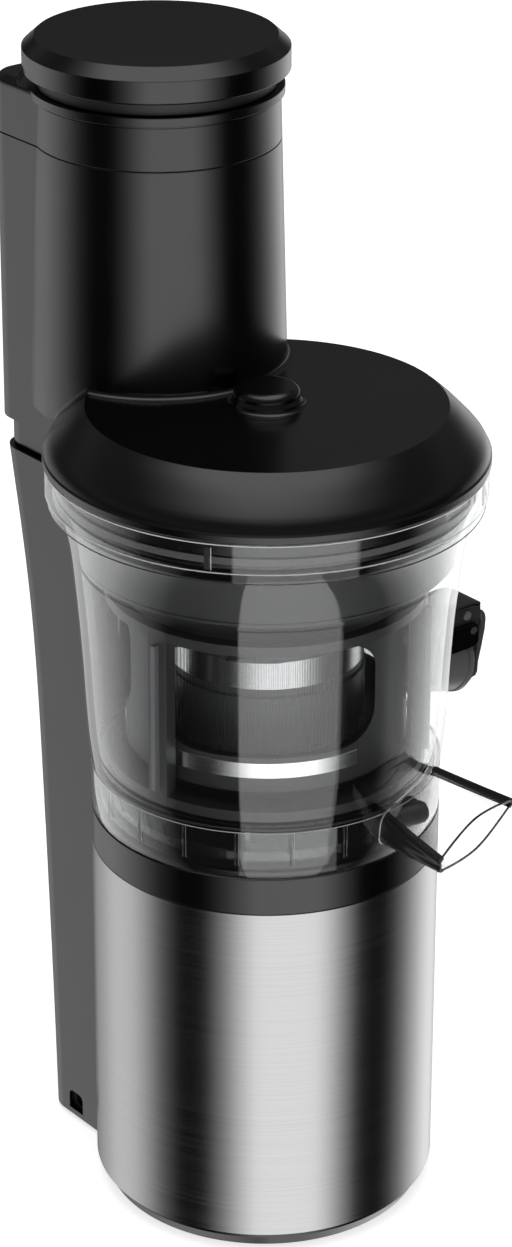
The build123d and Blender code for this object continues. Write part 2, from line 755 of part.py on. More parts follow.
def strainer_frame():
    """Basket with tall windows, a pulp hole in its floor and a flared top."""
    inner = strainer_radius - strainer_wall
    top_inner = strainer_flare(strainer_wall)
    shell = turned(flat((strainer_radius, strainer_low), (strainer_radius, strainer_shoulder)), strainer_flare(0),
                   flat((strainer_top_radius, strainer_top - 1.2), (strainer_top_radius, strainer_top)),
                   top_inner, flat((inner, strainer_shoulder), (inner, strainer_low + strainer_floor),
                                   (sun_clear, strainer_low + strainer_floor),
                                   (sun_clear, strainer_low), (strainer_radius, strainer_low)))
    window = strainer_window(0)
    for i in range(strainer_windows):
        shell -= Rot(0, 0, 360 / strainer_windows * i) * window
    shell -= spout_direction() * slab(-9.5, 9.5, -36, -sun_clear - 0.6, strainer_low - 1,
                                      strainer_low + strainer_floor + 1)
    rib = tube(strainer_radius + 0.6, strainer_radius - 0.5, strainer_shoulder - 3.5,
               strainer_shoulder - 1.0)
    return shell + rib


strainer_top_radius = 71.6
ledge_top = strainer_top - 1.2 - fit
ledge_inner = strainer_top_radius - 1.2
bowl_ledge_radius = 74.0
window_turn = -128.0        # the direction of the first window's middle
window_half_angle = 48.0


def strainer_flare(inset):
    """Flared top of the basket, ending in a flat edge."""
    height = strainer_top if inset else strainer_top - 1.2
    return curve((strainer_radius - inset, strainer_shoulder),
                 (strainer_radius + 3.5 - inset, strainer_shoulder + 8.0 + inset * 0.3),
                 (strainer_top_radius, height), tangents=((0, 1), (1, 0.1)))


def strainer_window(shrink):
    """One tall window, round at its lower corners."""
    half = strainer_radius * sin(radians(window_half_angle)) - shrink
    height = window_top - window_bottom - 2 * shrink
    middle = (window_top + window_bottom) / 2
    shape = Plane(origin=(0, 0, middle), x_dir=(0, 1, 0), z_dir=(1, 0, 0)) * \
        RectangleRounded(2 * half, height, 13 - shrink)
    return Rot(0, 0, window_turn) * (Pos(20, 0, 0) * extrude(shape, 60))


def strainer_mesh():
    """Fine steel screens that line the windows."""
    outer = strainer_radius - strainer_wall - nest
    sheet = tube(outer, outer - mesh_thickness, window_bottom - 4, window_top + 4)
    panel = Rot(0, 0, window_turn) * slab(15, strainer_radius + 10, -46, 46, window_bottom - 10,
                                             window_top + 10)
    return [sheet & (Rot(0, 0, 360 / strainer_windows * i) * panel) for i in range(strainer_windows)]


def gear_outline(teeth, clearance=0.0, internal=False):
    """Tooth outline on the pitch circle, with straight flanks."""
    pitch = gear_module * teeth / 2
    tip = gear_module * (0.85 if not internal else 1.05)
    root = gear_module * (1.1 if not internal else 0.85)
    points = []
    step = 2 * pi / teeth
    half_pitch = step / 4 - clearance / pitch
    for i in range(teeth):
        a = i * step
        tip_half = half_pitch * 0.55 if not internal else half_pitch * 0.5
        root_half = half_pitch * 1.5 if not internal else half_pitch * 1.45
        for radius, offset in ((pitch - root, -root_half), (pitch + tip, -tip_half),
                               (pitch + tip, tip_half), (pitch - root, root_half)):
            points.append((radius * cos(a + offset), radius * sin(a + offset)))
    return make_face(Polyline(*points, close=True).edges())


idler_distance = gear_module * (sun_teeth + idler_teeth) / 2
ring_teeth = sun_teeth + 2 * idler_teeth
gear_low = bowl_floor_top + fit
backlash = 0.16
sun_clear = gear_module * sun_teeth / 2 + gear_module + 1.0


def idler_places():
    """Centres of the idlers round the sun gear."""
    return [(idler_distance * cos(radians(a)), idler_distance * sin(radians(a))) for a in idler_angles]


def idler_gear(index):
    """Idler between the auger's gear and the wiper's ring."""
    angle = idler_angles[index]
    x, y = idler_places()[index]
    # A tooth of the sun at this angle meets a gap of the idler.
    sun_phase = (angle / 360 * sun_teeth) % 1
    turn = angle + 180 + (0.5 + sun_phase) * 360 / idler_teeth
    body = extrude(gear_outline(idler_teeth, backlash), gear_height)
    gear = Pos(x, y, gear_low) * Rot(0, 0, turn) * body
    return gear - disc(2.5 + running, gear_low - 1, gear_low + gear_height + 1, x, y)


def wiper_carrier():
    """Ring gear with posts that carry the wiper's blades round the strainer."""
    ring = Pos(0, 0, gear_low) * extrude(Circle(wiper_ring_outer), gear_height)
    cut = Rot(0, 0, ring_phase()) * extrude(gear_outline(ring_teeth, -backlash, True), gear_height + 2)
    ring -= Pos(0, 0, gear_low - 1) * cut
    plate_inner = strainer_radius + 1.2
    flange = tube(wiper_outer, wiper_ring_outer - 1, gear_low, gear_low + 1.8)
    posts = [slab(plate_inner + 1.2, wiper_outer, -4.5, 4.5, gear_low, wiper_top)]
    frame = around(wiper_posts, posts[0], wiper_start)
    hoop = tube(wiper_outer, plate_inner + 1.2, wiper_top - 4, wiper_top)
    foot_hoop = tube(wiper_outer, plate_inner + 1.2, gear_low, gear_low + 4)
    whole = joined([ring, flange, hoop, foot_hoop] + frame)
    for blade in wiper_blades_at(nest):
        whole -= blade
    return whole


def ring_phase():
    """Turn that puts the ring's gaps where the first idler's teeth reach it."""
    angle = idler_angles[0]
    sun_phase = (angle / 360 * sun_teeth) % 1
    idler_turn = angle + 180 + (0.5 + sun_phase) * 360 / idler_teeth
    offset = ((idler_turn - angle) / (360 / idler_teeth)) % 1
    return angle + offset * 360 / ring_teeth


wiper_ring_outer = gear_module * (sun_teeth + 2 * idler_teeth) / 2 + 5.0
wiper_outer = 61.5
wiper_start = -170.0


def wiper_blades_at(grow):
    """Blades that touch the strainer inside and the bowl outside."""
    blade = slab(strainer_radius + 1.0, 63.8, -1.0 - grow, 1.0 + grow, gear_low + 6, wiper_top - 6)
    return around(wiper_posts, blade, wiper_start)


def wiper_blades():
    """Silicone blades held in the posts."""
    return wiper_blades_at(0)


# ======================= Auger =======================

def auger():
    """Pressing screw: smooth lower drum, tapered core and two flights at the top."""
    neck = auger_radius - 0.9
    core_radius = 15.0
    drum = turned(flat((0, auger_bottom), (auger_radius - 2, auger_bottom),
                       (auger_radius - 2, auger_bottom + 3.0), (auger_radius, auger_bottom + 4.0),
                       (auger_radius, band_bottom - 3.7), (neck, band_bottom - 3.0), (neck, drum_top)),
                  curve((neck, drum_top), (auger_radius - 11.0, drum_top + 16.0),
                        (core_radius, auger_top), tangents=((0, 1), (-0.2, 1))),
                  flat((core_radius, auger_top), (top_pin_radius + 2, auger_top + 1.5),
                       (top_pin_radius, auger_top + 1.5), (top_pin_radius, pin_top),
                       (0, pin_top), (0, auger_bottom)))
    rib = slab(auger_radius - 4, auger_radius - 0.2, -1.1, 1.1, auger_bottom, auger_bottom + 3.4)
    whole = joined([drum] + around(18, rib))
    helix = Helix(flight_pitch, flight_height(), flight_mean_radius)
    section = Plane(origin=helix @ 0, x_dir=(1, 0, 0), z_dir=helix % 0) * Rectangle(32, 4.0)
    flight = Pos(0, 0, flight_low) * sweep(section, path=helix, is_frenet=True)
    low = drum_top - 0.5
    envelope = turned(flat((0, low), (flight_radius - 1, low)),
                      curve((flight_radius - 1, low), (flight_radius, drum_top + 12.0),
                            (flight_radius + 4.0, drum_top + 22.0), (30.0, auger_top - 3.0),
                            (core_radius + 0.5, auger_top), tangents=((0, 1), (-1, 0.1))),
                      flat((core_radius + 0.5, auger_top), (0, auger_top), (0, low)))
    for turn in range(flight_starts):
        whole += (Rot(0, 0, 360 / flight_starts * turn) * flight) & envelope
    whole -= disc(shaft_hex / 2 + 4.0, auger_bottom - 1, shaft_top + 2.5)
    return whole - tube(auger_radius + 1, auger_radius - 0.9 - 1.2, band_bottom, band_top)


flight_low = drum_top - 8.0
flight_mean_radius = 36.0


def flight_height():
    """Height that one flight climbs."""
    return auger_top - flight_low + 2


def auger_band():
    """Polished steel band let into the drum."""
    inner = auger_radius - 0.9 - 1.2
    return tube(auger_radius - 0.5, inner, band_bottom, band_top)


def auger_gear():
    """Gear and hexagonal socket pressed into the auger's foot."""
    gear = Pos(0, 0, gear_low) * extrude(gear_outline(sun_teeth, backlash), gear_height)
    neck = disc(hub_radius + hub_wall + 6.2, gear_low + gear_height, auger_bottom)
    hub_space = disc(hub_radius + hub_wall + 1.4 + fit, gear_low - 1, hub_top + 0.8)
    core = disc(shaft_hex / 2 + 4.0, hub_top + 0.8, shaft_top + 2.5)
    socket = RegularPolygon(shaft_hex / 2 + running + 0.04, 6, major_radius=False)
    bore = Pos(0, 0, gear_low - 1) * extrude(socket, shaft_top + 0.6 - gear_low + 1)
    return gear + neck - hub_space + core - bore


# ======================= Lid =======================

def lid_outside(inset):
    """Lid's shoulder, from the skirt up to the crease round the flat top."""
    return curve((lid_radius - 0.6 - inset, lid_skirt_top),
                 (lid_flat_radius + 10.8 - inset * 0.75, lid_flat_top - 10.4 - inset * 0.65),
                 (lid_flat_radius + 5.6 - inset * 0.7, lid_flat_top - 5.0 - inset * 0.7),
                 (lid_flat_radius - inset * 0.4, lid_flat_top - inset),
                 tangents=((-0.32, 1.0), (-1, lid_shoulder_slope)))


def boss():
    """Low round boss over the auger's top bearing, blended into the flat top."""
    blend = boss_radius + 2.4
    crown = boss_radius - 2.0
    return turned(flat((0, lid_flat_top - 1), (blend, lid_flat_top - 1), (blend, lid_flat_top)),
                  corner_arc((blend, lid_flat_top + 2.0), 2.0, 270, 180),
                  flat((blend - 2.0, lid_flat_top + 2.0), (crown + 1.5, boss_top - 3.5)),
                  corner_arc((crown - 2.0, boss_top - 3.5), 3.5, 0, 90),
                  flat((crown - 2.0, boss_top), (0, boss_top), (0, lid_flat_top - 1)))


def chute_foot(whole):
    """Edges where the chute stands on the lid's flat top and its shoulder."""
    def on_foot(edge):
        middle = edge @ 0.5
        reach = hypot(middle.X, middle.Y - chute_behind_axis)
        return (abs(reach - chute_radius_low) < 0.8 and middle.Z < lid_flat_top + 0.1
                and max((edge @ 0).Z, (edge @ 1).Z) > lid_flat_top - 0.1)
    return whole.edges().filter_by(on_foot)


def chute_outside(low, high, grow=0.0):
    """Chute's outer form, which narrows a little upwards."""
    slope = (chute_radius_low - chute_radius_top) / (chute_split - lid_flat_top)
    bottom = chute_radius_low + (lid_flat_top - low) * slope + grow
    top = chute_radius_low - (high - lid_flat_top) * slope + grow
    return Pos(0, chute_behind_axis, (low + high) / 2) * Cone(bottom, top, high - low)


def rear_block(low, high, inset=0.0):
    """Block behind the chute."""
    block = slab(-block_half_width + inset, block_half_width - inset, chute_behind_axis,
                 block_back - inset, low, high)
    edges = block.edges().filter_by(Axis.Z).sort_by(Axis.Y)[-2:]
    return fillet(edges, block_corner)


magnet_behind_axis = 99.0
skirt_outer = rim_radius - bowl_wall - fit - 1.8
skirt_low = rim_bottom + 4.1


def lid():
    """Black lid, lower chute and block in one moulding."""
    skirt_inner = skirt_outer - lid_wall
    dome = turned(lid_outside(0), flat((lid_flat_radius, lid_flat_top), (0, lid_flat_top),
                                       (0, lid_flat_top - lid_wall),
                                       (lid_flat_radius - lid_wall * 0.4, lid_flat_top - lid_wall)),
                  lid_outside(lid_wall),
                  flat((lid_radius - 0.6 - lid_wall, lid_skirt_top), (skirt_inner, lid_skirt_top - 1),
                       (skirt_inner, skirt_low), (skirt_outer, skirt_low), (skirt_outer, rim_top + fit),
                       (lid_radius - 0.5, rim_top + fit), (lid_radius, rim_top + 0.9),
                       (lid_radius, lid_skirt_top - 0.8), (lid_radius - 0.6, lid_skirt_top)))
    chute = chute_outside(lid_flat_top - 16, chute_split)
    upper_block = rear_block(block_bottom + block_step_height, chute_split)
    lower_block = rear_block(block_bottom, block_bottom + block_step_height, block_step)
    whole = joined([chute, upper_block, lower_block])
    whole -= disc(rim_radius + 1.2, block_bottom - 1, rim_top + fit)
    whole -= slab(-60, 60, block_back, 150, block_bottom - 1, chute_split + 1)
    whole = joined([whole, dome])
    whole = joined([fillet(chute_foot(whole), chute_foot_fillet), boss()])
    bore = disc(chute_bore, lid_flat_top - 18, chute_split + 1, 0, chute_behind_axis)
    whole -= (bore + under_lid()) - ramp()
    whole -= disc(4.0 + nest, block_bottom - 1, block_bottom + 4.4, 0, magnet_behind_axis)
    bush = tube(top_pin_radius + 4.5, top_pin_radius + 1.7, pin_top - 8, lid_flat_top - lid_wall + 0.5)
    return whole + bush


def ramp():
    """Slope under the chute's rear that turns food towards the auger."""
    rear = chute_behind_axis + chute_bore + 20
    front = chute_behind_axis + 7.8
    low, high = rim_bottom - 18, lid_flat_top + 29.4
    profile = Polyline((0, rear, low), (0, rear, high), (0, rear - 18, high),
                       (0, front, lid_skirt_top - 0.8), (0, front, low), (0, rear, low))
    wedge = extrude(make_face(profile.edges()), 60, both=True)
    return wedge - disc(skirt_outer - lid_wall - 0.01, 200, lid_skirt_top - 1.0)


def under_lid():
    """Hollow under the lid's dome where the chute opens into it."""
    throat = disc(chute_bore - 3.0, rim_bottom + 2, lid_flat_top, 0, chute_behind_axis - 22)
    limit = disc(skirt_outer - lid_wall, skirt_low - 1, lid_flat_top - lid_wall)
    return throat & limit


def lid_bush():
    """Bearing ring in the lid for the auger's top pin."""
    return tube(top_pin_radius + 1.7 - 0.02, top_pin_radius + running, pin_top - 7, pin_top + 2)


def lid_gasket():
    """Silicone ring between the lid's skirt and the bowl's rim."""
    return tube(skirt_outer + 0.9, skirt_outer, skirt_low + 2.0, skirt_low + 4.6)


def chute_collar():
    """Upper ring of the chute and block, above the seam."""
    low = chute_split + 0.5
    ring = chute_outside(low, chute_top - 4.2)
    lip = tube(48.0, chute_bore, chute_top - 3.2, chute_top, 0, chute_behind_axis)
    neck = disc(46.4, chute_top - 4.3, chute_top - 3.1, 0, chute_behind_axis)
    back = rear_block(low, chute_top + 2.0)
    back = fillet(back.faces().sort_by(Axis.Z)[-1].edges().sort_by(Axis.Y)[-3:], 4.0)
    whole = joined([ring, neck, lip, back])
    whole -= disc(chute_bore, low - 1, chute_top + 10, 0, chute_behind_axis)
    return whole - (disc(cap_radius + 1.5, chute_top, chute_top + 10, 0, chute_behind_axis))


def collar_seal():
    """Thin gasket in the seam round the chute."""
    return tube(46.4, chute_bore + 0.4, chute_split, chute_split + 0.5, 0, chute_behind_axis)


def lid_magnet():
    """Magnet in the block's foot for the interlock."""
    return disc(4.0, block_bottom + 1.2, block_bottom + 4.2, 0, magnet_behind_axis)


# ======================= Pusher =======================

plunger_radius = chute_bore - 0.5


def pusher_cap():
    """Wide cap that rests over the chute, with a bevelled edge."""
    cap = turned(flat((0, cap_bottom), (cap_radius - 0.6, cap_bottom), (cap_radius, cap_bottom + 0.6),
                      (cap_radius, cap_edge), (cap_flat_radius, cap_top), (0, cap_top), (0, cap_bottom)))
    inner = turned(flat((0, cap_bottom - 1), (plunger_radius + 0.2, cap_bottom - 1),
                        (plunger_radius + 0.2, cap_bottom + 3.0), (0, cap_bottom + 3.0),
                        (0, cap_bottom - 1)))
    return Pos(0, chute_behind_axis, 0) * (cap - inner)


def pusher_plunger():
    """Hollow plunger that fills the chute, with a shoulder that rests on it."""
    top = cap_bottom + 3.0
    body = turned(flat((0, plunger_bottom), (plunger_radius - 2.5, plunger_bottom),
                       (plunger_radius, plunger_bottom + 2.5), (plunger_radius, top),
                       (plunger_radius - plunger_wall, top),
                       (plunger_radius - plunger_wall, plunger_bottom + plunger_wall),
                       (0, plunger_bottom + plunger_wall), (0, plunger_bottom)))
    shoulder = tube(chute_bore + 1.2, plunger_radius - 1, chute_top + fit, cap_bottom)
    return Pos(0, chute_behind_axis, 0) * (body + shoulder)


nodes = {
    "foot_ring": foot_ring, "base_plate": base_plate, "rubber_feet": rubber_feet,
    "base_screws": base_screws, "steel_sleeve": steel_sleeve, "inner_tub": inner_tub,
    "collar": collar, "deck_screws": deck_screws, "spindle_seal": spindle_seal,
    "gearbox_housing": gearbox_housing, "output_bearing": output_bearing,
    "output_shaft": output_shaft, "motor_can": motor_can, "motor_cradle": motor_cradle,
    "column_cover": column_cover, "column_front": column_front, "cord_inlet": cord_inlet,
    "control_board": control_board, "interlock_switch": interlock_switch,
    "switch_bezel": switch_bezel, "switch_rocker": switch_rocker,
    "bowl": bowl, "pulp_spout": pulp_spout, "pulp_valve": pulp_valve,
    "juice_nozzle": juice_nozzle, "flap_bracket": flap_bracket, "flap_pin": flap_pin,
    "drip_flap": drip_flap, "flap_seal": flap_seal, "hub_seal": hub_seal,
    "strainer_frame": strainer_frame, "strainer_mesh": strainer_mesh,
    "idler_gear_right": lambda: idler_gear(0), "idler_gear_left": lambda: idler_gear(1),
    "wiper_carrier": wiper_carrier, "wiper_blades": wiper_blades,
    "auger": auger, "auger_band": auger_band, "auger_gear": auger_gear,
    "lid": lid, "lid_bush": lid_bush, "lid_gasket": lid_gasket, "lid_magnet": lid_magnet,
    "chute_collar": chute_collar, "collar_seal": collar_seal,
    "pusher_cap": pusher_cap, "pusher_plunger": pusher_plunger,
}

for node, make in nodes.items():
    save(node, make())
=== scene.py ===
import json
import math

import bmesh
import bpy
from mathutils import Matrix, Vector

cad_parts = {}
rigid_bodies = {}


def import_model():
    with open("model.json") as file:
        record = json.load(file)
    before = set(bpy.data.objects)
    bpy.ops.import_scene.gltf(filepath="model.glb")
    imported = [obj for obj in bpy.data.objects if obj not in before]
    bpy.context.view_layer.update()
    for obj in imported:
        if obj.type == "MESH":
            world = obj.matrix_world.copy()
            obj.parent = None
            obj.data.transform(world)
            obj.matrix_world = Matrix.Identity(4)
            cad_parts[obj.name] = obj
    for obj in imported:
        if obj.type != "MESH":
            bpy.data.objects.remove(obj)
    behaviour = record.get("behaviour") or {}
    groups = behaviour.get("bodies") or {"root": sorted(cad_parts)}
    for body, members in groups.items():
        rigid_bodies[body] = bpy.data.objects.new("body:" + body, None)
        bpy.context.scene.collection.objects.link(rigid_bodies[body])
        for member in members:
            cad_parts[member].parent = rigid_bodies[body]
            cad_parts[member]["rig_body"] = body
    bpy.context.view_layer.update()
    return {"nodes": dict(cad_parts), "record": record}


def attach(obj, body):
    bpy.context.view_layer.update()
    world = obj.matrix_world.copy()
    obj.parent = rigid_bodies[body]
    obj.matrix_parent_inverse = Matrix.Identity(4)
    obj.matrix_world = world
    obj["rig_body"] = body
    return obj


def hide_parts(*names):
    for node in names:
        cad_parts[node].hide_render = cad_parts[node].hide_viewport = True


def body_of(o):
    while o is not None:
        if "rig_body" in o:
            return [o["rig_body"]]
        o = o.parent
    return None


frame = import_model()

MM = 0.001                  # sizes below are in mm unless marked

# ======================= Camera =======================

CAMERA_PLACE = (-780.8, -962.2, 818.9)      # mm
CAMERA_HEADING = 38.89                      # degrees from +Y towards +X
CAMERA_PITCH = 23.107                       # degrees below the horizon
CAMERA_ROLL = 0.206                         # degrees
CAMERA_LENS, CAMERA_SENSOR = 103.6, 36.0    # mm
CAMERA_SHIFT = (-0.0008, -0.0992)


def add_camera():
    """Long lens from the front left, looking down, with a small vertical shift."""
    data = bpy.data.cameras.new("camera")
    camera = bpy.data.objects.new("camera", data)
    bpy.context.scene.collection.objects.link(camera)
    camera.location = Vector(CAMERA_PLACE) * MM
    heading, pitch = math.radians(CAMERA_HEADING), math.radians(CAMERA_PITCH)
    ahead = Vector((math.sin(heading) * math.cos(pitch), math.cos(heading) * math.cos(pitch),
                    -math.sin(pitch)))
    camera.rotation_euler = ahead.to_track_quat("-Z", "Y").to_euler()
    camera.rotation_euler.rotate_axis("Z", math.radians(CAMERA_ROLL))
    data.sensor_width = CAMERA_SENSOR
    data.lens = CAMERA_LENS
    data.shift_x, data.shift_y = CAMERA_SHIFT
    data.clip_start, data.clip_end = 0.05, 60.0     # metres
    bpy.context.scene.camera = camera


# ======================= Node helpers =======================

def grey(value):
    return (value, value, value, 1.0)


def math_node(tree, kind, *values):
    """Result of a sum over numbers and sockets."""
    node = tree.nodes.new("ShaderNodeMath")
    node.operation = kind
    for socket, value in zip(node.inputs, values):
        if isinstance(value, (int, float)):
            socket.default_value = value
        else:
            tree.links.new(value, socket)
    return node.outputs[0]


def ramp(tree, source, stops, interpolation="EASE"):
    """Greys or colours at places from 0 to 1."""
    node = tree.nodes.new("ShaderNodeValToRGB")
    node.color_ramp.interpolation = interpolation
    while len(node.color_ramp.elements) < len(stops):
        node.color_ramp.elements.new(0.5)
    for element, (place, value) in zip(node.color_ramp.elements, stops):
        element.position = place
        element.color = grey(value) if isinstance(value, float) else (*value, 1.0)
    tree.links.new(source, node.inputs["Fac"])
    return node.outputs["Color"]


class Tree:
    """Short way to write a material's node tree."""

    def __init__(self, name):
        self.material = bpy.data.materials.new(name)
        self.material.use_nodes = True
        self.nodes = self.material.node_tree.nodes
        self.links = self.material.node_tree.links
        self.shader = self.nodes["Principled BSDF"]
        self.output = self.nodes["Material Output"]

    def add(self, kind, **values):
        node = self.nodes.new(kind)
        for key, value in values.items():
            if key in node.inputs:
                node.inputs[key].default_value = value
            else:
                setattr(node, key, value)
        return node

    def link(self, a, b):
        self.links.new(a, b)

    def set(self, **values):
        """Constant values on the shader's own sockets."""
        for key, value in values.items():
            self.shader.inputs[key.replace("_", " ")].default_value = value


# ======================= Studio =======================

# Brightness of the soft boxes by degrees to the right of the camera, 0 being behind the camera. Satin
# plastic and brushed steel see them through a soft scrim, clear plastic sees them bare.
SCRIM = [(-179, 0.10), (-152, 0.26), (-134, 0.44), (-118, 0.64), (-96, 0.56), (-78, 0.20), (-64, 0.03),
         (-50, 0.0), (-36, 0.06), (-22, 0.40), (-9, 0.88), (4, 1.18), (16, 1.22), (32, 1.08), (48, 0.54),
         (62, 0.09), (72, 0.0), (86, 0.0), (98, 0.08), (110, 0.27), (124, 0.58), (142, 0.82), (160, 0.62),
         (179, 0.10)]
BARE = [(-179, 0.25), (-140, 0.75), (-112, 0.85), (-84, 0.35), (-66, 0.02), (-18, 0.02), (-17, 0.95),
        (48, 0.92), (49, 0.02), (80, 0.02), (96, 0.45), (116, 1.0), (146, 1.1), (179, 0.4)]
# Share of them by degrees above the horizon, and the box overhead.
LOW_BAND = [(-60, 1.0), (-10, 1.0), (3, 0.3), (12, 0.03), (40, 0.015)]
TOP_BAND = [(8, 0.0), (15, 0.035), (23, 0.08), (36, 0.05), (48, 0.1), (57, 0.42), (66, 1.0), (78, 1.2),
            (90, 0.9)]
BOX_STRENGTH = 2.0


def add_world():
    """Bright paper for the camera, and soft boxes round the juicer that only gloss and light see."""
    world = bpy.data.worlds.new("studio")
    bpy.context.scene.world = world
    world.use_nodes = True
    tree = world.node_tree
    nodes, links = tree.nodes, tree.links
    nodes.clear()
    coords = nodes.new("ShaderNodeTexCoord")
    split = nodes.new("ShaderNodeSeparateXYZ")
    links.new(coords.outputs["Generated"], split.inputs[0])
    x, y, z = split.outputs

    def calc(kind, *values):
        return math_node(tree, kind, *values)

    def band(source, stops, whole, interpolation="CARDINAL"):
        """Values at degrees, for a source that runs from 0 to 1 over the whole and is 0.5 at 0 degrees."""
        places = [(0.5 + degrees / whole, value) for degrees, value in stops]
        return ramp(tree, source, places, interpolation)

    # Turn round the vertical, 0.5 at the camera's side, growing anticlockwise from above.
    heading = math.radians(CAMERA_HEADING)
    back_x, back_y = -math.sin(heading), -math.cos(heading)
    turned_x = calc("ADD", calc("MULTIPLY", x, back_x), calc("MULTIPLY", y, back_y))
    turned_y = calc("SUBTRACT", calc("MULTIPLY", y, back_x), calc("MULTIPLY", x, back_y))
    turn = calc("ADD", calc("DIVIDE", calc("ARCTAN2", turned_y, turned_x), 2 * math.pi), 0.5)
    height = calc("ADD", calc("DIVIDE", calc("ARCSINE", z), math.pi), 0.5)

    path = nodes.new("ShaderNodeLightPath")
    sharp = path.outputs["Is Singular Ray"]
    panels = calc("ADD", calc("MULTIPLY", sharp, band(turn, BARE, 360, "LINEAR")),
                  calc("MULTIPLY", calc("SUBTRACT", 1.0, sharp), band(turn, SCRIM, 360)))
    light = calc("ADD", calc("MULTIPLY", panels, band(height, LOW_BAND, 180)), band(height, TOP_BAND, 180))
    boxes = nodes.new("ShaderNodeBackground")
    links.new(calc("MULTIPLY", light, BOX_STRENGTH), boxes.inputs["Strength"])
    paper = nodes.new("ShaderNodeBackground")
    paper.inputs["Color"].default_value = grey(1.0)
    seen = calc("MAXIMUM", path.outputs["Is Camera Ray"], path.outputs["Is Transmission Ray"])
    mix = nodes.new("ShaderNodeMixShader")
    links.new(seen, mix.inputs["Fac"])
    links.new(boxes.outputs[0], mix.inputs[1])
    links.new(paper.outputs[0], mix.inputs[2])
    out = nodes.new("ShaderNodeOutputWorld")
    links.new(mix.outputs[0], out.inputs["Surface"])


def add_floor():
    """Pale paper sweep under the juicer."""
    reach = 6.0                 # metres
    mesh = bpy.data.meshes.new("floor")
    corners = [(-reach, -reach, 0), (reach, -reach, 0), (reach, reach, 0), (-reach, reach, 0)]
    mesh.from_pydata(corners, [], [(0, 1, 2, 3)])
    floor = bpy.data.objects.new("floor", mesh)
    bpy.context.scene.collection.objects.link(floor)
    tree = Tree("paper")
    tree.set(Base_Color=grey(0.9), Roughness=0.9, Specular_IOR_Level=0.1, Emission_Color=grey(1.0),
             Emission_Strength=0.75)
    mesh.materials.append(tree.material)
    floor.visible_glossy = False
    floor.visible_shadow = False


# ======================= Materials =======================

EDGE_ROUNDING = 0.4
BUMP_DEPTH = 0.1
PLASTIC_GRAIN = 0.03        # strength of the bump
PLASTIC_IOR = 1.62


def soft_edges(tree):
    """Normal that rounds a moulding's sharp edges over a fraction of a millimetre."""
    node = tree.nodes.new("ShaderNodeBevel")
    node.samples = 4
    node.inputs["Radius"].default_value = EDGE_ROUNDING * MM
    return node.outputs["Normal"]


def plastic(name, colour, roughness):
    """Moulded plastic: spark-eroded grain, faint uneven gloss and slightly rounded edges."""
    tree = Tree(name)
    coords = tree.add("ShaderNodeTexCoord")
    fine = tree.add("ShaderNodeTexNoise", Scale=1600.0, Detail=3.0)
    wide = tree.add("ShaderNodeTexNoise", Scale=24.0, Detail=4.0)
    tree.link(coords.outputs["Object"], fine.inputs["Vector"])
    tree.link(coords.outputs["Object"], wide.inputs["Vector"])
    tree.link(ramp(tree, wide.outputs["Fac"], [(0.3, roughness - 0.015), (0.7, roughness + 0.02)]),
              tree.shader.inputs["Roughness"])
    bump = tree.add("ShaderNodeBump", Strength=PLASTIC_GRAIN, Distance=BUMP_DEPTH * MM)
    tree.link(fine.outputs["Fac"], bump.inputs["Height"])
    tree.link(soft_edges(tree), bump.inputs["Normal"])
    tree.link(bump.outputs[0], tree.shader.inputs["Normal"])
    tree.set(Base_Color=(*colour, 1.0), IOR=PLASTIC_IOR)
    return tree.material


def brushed(name, dark, light, roughness=0.2, lines_scale=1100.0, bump_strength=0.02):
    """Steel with fine brushing that runs round the main axis."""
    tree = Tree(name)
    coords = tree.add("ShaderNodeTexCoord")
    stretch = tree.add("ShaderNodeMapping")
    stretch.inputs["Scale"].default_value = (2.0, 2.0, lines_scale)
    lines = tree.add("ShaderNodeTexNoise", Scale=3.0, Detail=6.0)
    tree.link(coords.outputs["Object"], stretch.inputs["Vector"])
    tree.link(stretch.outputs[0], lines.inputs["Vector"])
    tree.link(ramp(tree, lines.outputs["Fac"], [(0.3, roughness - 0.02), (0.7, roughness + 0.03)]),
              tree.shader.inputs["Roughness"])
    bump = tree.add("ShaderNodeBump", Strength=bump_strength, Distance=BUMP_DEPTH * MM)
    tree.link(lines.outputs["Fac"], bump.inputs["Height"])
    tree.link(bump.outputs[0], tree.shader.inputs["Normal"])
    tree.link(ramp(tree, lines.outputs["Fac"], [(0.25, dark), (0.75, light)]),
              tree.shader.inputs["Base Color"])
    tree.set(Metallic=1.0)
    return tree.material


def clear(name, face_tint, edge_tint, face_gloss):
    """Clear moulded plastic: see-through face on, darker and glossier where it turns away."""
    tree = Tree(name)
    tree.nodes.remove(tree.shader)
    weight = tree.add("ShaderNodeLayerWeight", Blend=0.5)
    turned_away = weight.outputs["Facing"]
    through = tree.add("ShaderNodeBsdfTransparent")
    tree.link(ramp(tree, turned_away, [(0.0, face_tint), (0.55, face_tint), (0.95, edge_tint)]),
              through.inputs["Color"])
    gloss = tree.add("ShaderNodeBsdfAnisotropic")
    gloss.inputs["Roughness"].default_value = 0.0
    gloss.inputs["Color"].default_value = grey(1.0)
    grazing = math_node(tree, "POWER", turned_away, 5.0)
    mix = tree.add("ShaderNodeMixShader")
    tree.link(math_node(tree, "MULTIPLY_ADD", grazing, 1.0 - face_gloss, face_gloss), mix.inputs[0])
    tree.link(through.outputs[0], mix.inputs[1])
    tree.link(gloss.outputs[0], mix.inputs[2])
    tree.link(mix.outputs[0], tree.output.inputs["Surface"])
    return tree.material


